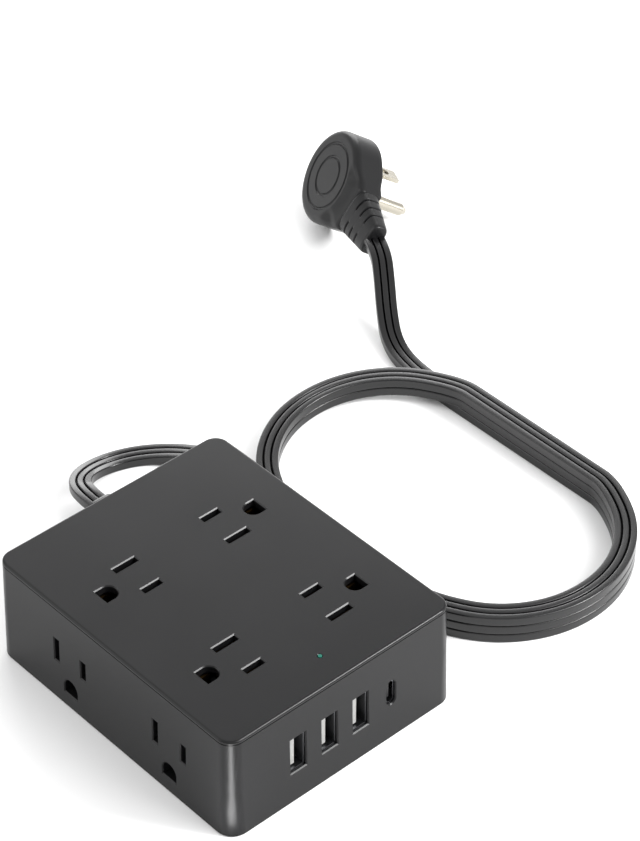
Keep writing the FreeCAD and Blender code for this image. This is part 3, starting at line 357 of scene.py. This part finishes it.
# ---------------------------------------------------------------- sleeves
def sleeve(name, origin, axes, stations, grooves, slot):
    """Tapered sleeve. stations are (x, width, thickness) along the first axis; the section is a
    superellipse. Each groove is a narrow bell along x that pulls the skin in on both edges but fades
    out towards the middle of the broad faces."""
    groove_half, groove_pull, fade_from, fade_over = 0.42, 0.17, 0.3, 0.12
    stations = np.array(stations, float)
    x = np.unique(np.round(np.concatenate([
        stations[:, 0], np.linspace(stations[0, 0], stations[-1, 0], 90),
        (np.array(grooves)[:, None] + np.linspace(-1.1, 1.1, 17)).ravel()]), 4))
    width = np.interp(x, stations[:, 0], stations[:, 1]) / 2
    thick = np.interp(x, stations[:, 0], stations[:, 2]) / 2
    profile = rounded_profile(96, 3.6)
    bell = np.exp(-((x[:, None] - np.array(grooves)) / groove_half) ** 4).sum(1)
    edge = np.clip((np.abs(profile[:, 0]) - fade_from) / fade_over, 0, 1)
    edge = edge * edge * (3 - 2 * edge)
    pull = 1 - bell[:, None] * edge[None, :] * groove_pull
    local = np.stack([np.broadcast_to(x[:, None], pull.shape), width[:, None] * profile[:, 0] * pull,
                      thick[:, None] * profile[:, 1] * pull], -1)
    grid = (np.asarray(origin) + local @ np.asarray(axes)) * MM
    obj = skin(name, grid, slot)
    crease(obj, 50)
    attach(obj, "case")
    return obj


def case_sleeve():
    """Flange inside the wall, neck through it and the grooved taper outside, along -X."""
    x0, y0, z0 = RELIEF_FROM
    stations = [(-5.8, 14.6, 10.2), (-3.5, 14.6, 10.2), (-3.4, 10.8, 6.8), (-0.1, 10.8, 6.8),
                (0.0, 13.4, 8.2), (0.5, 14.0, 8.6), (23.6, 10.6, 5.6), (24.3, 10.2, 5.2),
                (24.6, 9.2, 4.4)]
    obj = sleeve("case_sleeve", (x0, y0, z0), np.array([(-1, 0, 0), (0, -1, 0), (0, 0, 1)]), stations,
                 (7.6, 12.2, 16.8), "cord_rubber")
    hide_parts("case_strain_relief")
    return obj


def plug_sleeve():
    """Grooved taper from the plug's neck to the cord, along the plug's own X."""
    middle, axes = plug_frame()
    stations = [(20.5, 17.6, 9.0), (21.6, 17.9, 9.6), (38.6, 12.4, 6.9), (39.6, 11.8, 6.4), (40.0, 10.6, 5.2)]
    obj = sleeve("plug_sleeve", middle, axes, stations, (25.6, 29.6, 33.6), "plug_vinyl")
    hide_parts("plug_strain_relief")
    return obj


def plug_moulding():
    """Round plug body: rings of points round a teardrop outline. The outline's reach at angle a is the
    disc's radius, or the tangent line from the disc to the neck's corner, or the neck's end. Rows run
    from the middle of the back, over the rim and its rounding, to the middle of the ringed face, where
    two shallow round-bottomed rings are cut."""
    middle, axes = plug_frame()
    a = np.linspace(-np.pi, np.pi, 240, endpoint=False)
    corner = np.array([PLUG_NECK, 8.9])
    far = np.hypot(*corner)
    lean = np.arctan2(corner[1], corner[0]) + np.arccos(PLUG_RADIUS / far)
    b = np.abs(a)
    tangent = PLUG_RADIUS / np.cos(np.clip(lean - b, 0, 1.4))
    reach = np.where(b > lean, PLUG_RADIUS, np.minimum(tangent, PLUG_NECK / np.cos(np.clip(b, 0, 1.4))))
    neck = np.clip((reach - 18.2) / 3.5, 0, 1)
    neck = neck * neck * (3 - 2 * neck)
    high, low = PLUG_THICK / 2 - 1.25 * neck, -PLUG_THICK / 2 + 1.25 * neck
    rows = [(0.02 * reach, low), (0.6 * reach, low), (reach - 0.8, low), (reach - 0.25, low + 0.12),
            (reach, low + 0.6), (reach, low + 2.0), (reach, (low + high) / 2)]
    roll, ring_half, ring_depth = 2.6, 0.62, 0.55
    for t in np.linspace(0, np.pi / 2, 11):
        rows.append((reach - roll * (1 - np.cos(t)), high - roll * (1 - np.sin(t))))
    flat = PLUG_THICK / 2
    rows.append((np.minimum(reach - roll - 0.6, 15.0 + 0.35 * (reach - 18)), flat - 0.9 * neck))
    for ring in (14.6, 13.6):
        rows.append((0 * a + ring, 0 * a + flat))
    for ring in (12.6, 7.4):
        for t in np.linspace(1, -1, 9):
            rows.append((0 * a + ring + ring_half * t, 0 * a + flat - ring_depth * np.sqrt(1 - t * t)))
        rows.append((0 * a + ring - 1.4, 0 * a + flat))
    rows += [(0 * a + 3.0, 0 * a + flat), (0 * a + 0.02, 0 * a + flat)]
    r = np.array([row[0] for row in rows])
    z = np.array([row[1] + 0 * a for row in rows])
    local = np.stack([r * np.cos(a), r * np.sin(a), z], -1)
    grid = (middle + local @ axes) * MM
    obj = skin("plug_moulding", grid, "plug_vinyl")
    crease(obj, 40)
    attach(obj, "case")
    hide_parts("plug_body")
    return obj


# ---------------------------------------------------------- fine details
def strip(name, path, across, width, thick, slot):
    """Flat sheet-metal strip: a rounded rectangle carried along a path in a plane across the strip."""
    path = np.array(path, float)
    across = np.broadcast_to(np.array(across, float), path.shape)
    ahead = np.gradient(path, axis=0)
    ahead /= np.linalg.norm(ahead, axis=1)[:, None]
    over = np.cross(ahead, across)
    ones = np.ones(len(path))
    grid = sections(path, across, over, ones * width / 2, ones * thick / 2, rounded_profile(16, 6)) * MM
    obj = skin(name, grid, slot)
    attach(obj, "case")
    return obj


def port_contacts():
    """Four gilt springs on the face of each type A tongue: each rises to a hump near the mouth."""
    run = np.linspace(0, 1, 24)
    for port in ("usb_a_1", "usb_a_2", "usb_a_3"):
        low, high = (np.array(c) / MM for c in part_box(port + "_tongue"))
        face = low[1] - 0.12
        x = high[0] - 1.0 - run * 8.0
        lift = 0.32 * np.exp(-((run - 0.22) / 0.12) ** 2)
        for i, z in enumerate(np.linspace(low[2] + 1.9, high[2] - 1.9, 4)):
            path = np.stack([x, face - lift, 0 * x + z], 1)
            strip(f"{port}_spring_{i + 1}", path, (0, 0, 1), 1.0, 0.2, "contact_brass")


def polish_cad():
    """Each CAD node that shows gets its finish, and smooth shading on its round faces."""
    slots = {s["node"]: s["material_slot"] for s in frame["record"]["subparts"]}
    for node, obj in frame["nodes"].items():
        obj.data.materials.clear()
        obj.data.materials.append(FINISH["tongue_dark" if node == "usb_c_tongue" else slots[node]])
        obj.data.polygons.foreach_set("use_smooth", np.ones(len(obj.data.polygons), bool))
        weld = obj.modifiers.new("weld", "WELD")
        weld.merge_threshold = 2e-6
        crease(obj, 24)


# ------------------------------------------------------ floor and lights
def make_stage():
    """White matt floor, far wider than the part."""
    size = 6.0
    mesh = bpy.data.meshes.new("floor")
    corners = [(-size, -size, 0), (size, -size, 0), (size, size, 0), (-size, size, 0)]
    mesh.from_pydata(corners, [], [(0, 1, 2, 3)])
    floor = bpy.data.objects.new("floor", mesh)
    bpy.context.collection.objects.link(floor)
    mesh.materials.append(finish_of("matt_paper", "f4f4f4", 0.9))


def soft_light(name, spot, aim, width, height, power):
    """Rectangular light at spot that faces aim; sizes in metres, power in watts."""
    data = bpy.data.lights.new(name, "AREA")
    data.shape = "RECTANGLE"
    data.size, data.size_y, data.energy = width, height, power
    obj = bpy.data.objects.new(name, data)
    obj.location = spot
    obj.rotation_euler = (Vector(spot) - Vector(aim)).to_track_quat("Z", "Y").to_euler()
    bpy.context.collection.objects.link(obj)


def corner_spots():
    """Three narrow spots straight down on the floor before the front corner. The corner's rounding
    mirrors them as one bright upright band; each is as wide as a wedge from the corner is at its
    distance."""
    height, wedge, power = 0.8, 0.36, 430.0
    corner = Vector(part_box("side_shell")[1])
    out = Vector((0.74, -0.67, 0))
    foot = Vector((corner.x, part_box("side_shell")[0][1], 0)) - out * 0.002
    for i, reach in enumerate((0.011, 0.025, 0.046)):
        data = bpy.data.lights.new(f"corner_spot_{i + 1}", "SPOT")
        data.energy = power
        data.spot_size = 2 * math.atan(reach * wedge / height)
        data.spot_blend = 0.5
        data.shadow_soft_size = 0.002
        obj = bpy.data.objects.new(data.name, data)
        obj.location = foot + out * reach + Vector((0, 0, height))
        bpy.context.collection.objects.link(obj)


def make_lights():
    """White surroundings, four soft lights and the corner's spots."""
    world = bpy.data.worlds.new("studio")
    world.use_nodes = True
    world.node_tree.nodes["Background"].inputs[0].default_value = (1, 1, 1, 1)
    world.node_tree.nodes["Background"].inputs[1].default_value = 0.95
    bpy.context.scene.world = world
    bpy.context.scene.view_settings.view_transform = "Standard"
    soft_light("left_box", (-0.72, -0.80, 0.66), (0, 0, 0.02), 0.9, 0.9, 4.5)
    soft_light("right_box", (0.80, 0.66, 0.72), (0, 0, 0.02), 0.36, 0.36, 17.0)
    soft_light("back_box", (-1.10, 1.0, 0.55), (-0.02, 0.03, 0), 1.0, 0.8, 13.0)
    soft_light("floor_wash", (0.62, 0.30, 0.60), (0.20, 0.06, 0), 0.5, 0.5, 5.0)
    corner_spots()


make_camera()
sleeves = [case_sleeve(), plug_sleeve(), plug_moulding()]
make_cord()
port_contacts()
polish_cad()
make_stage()
make_lights()
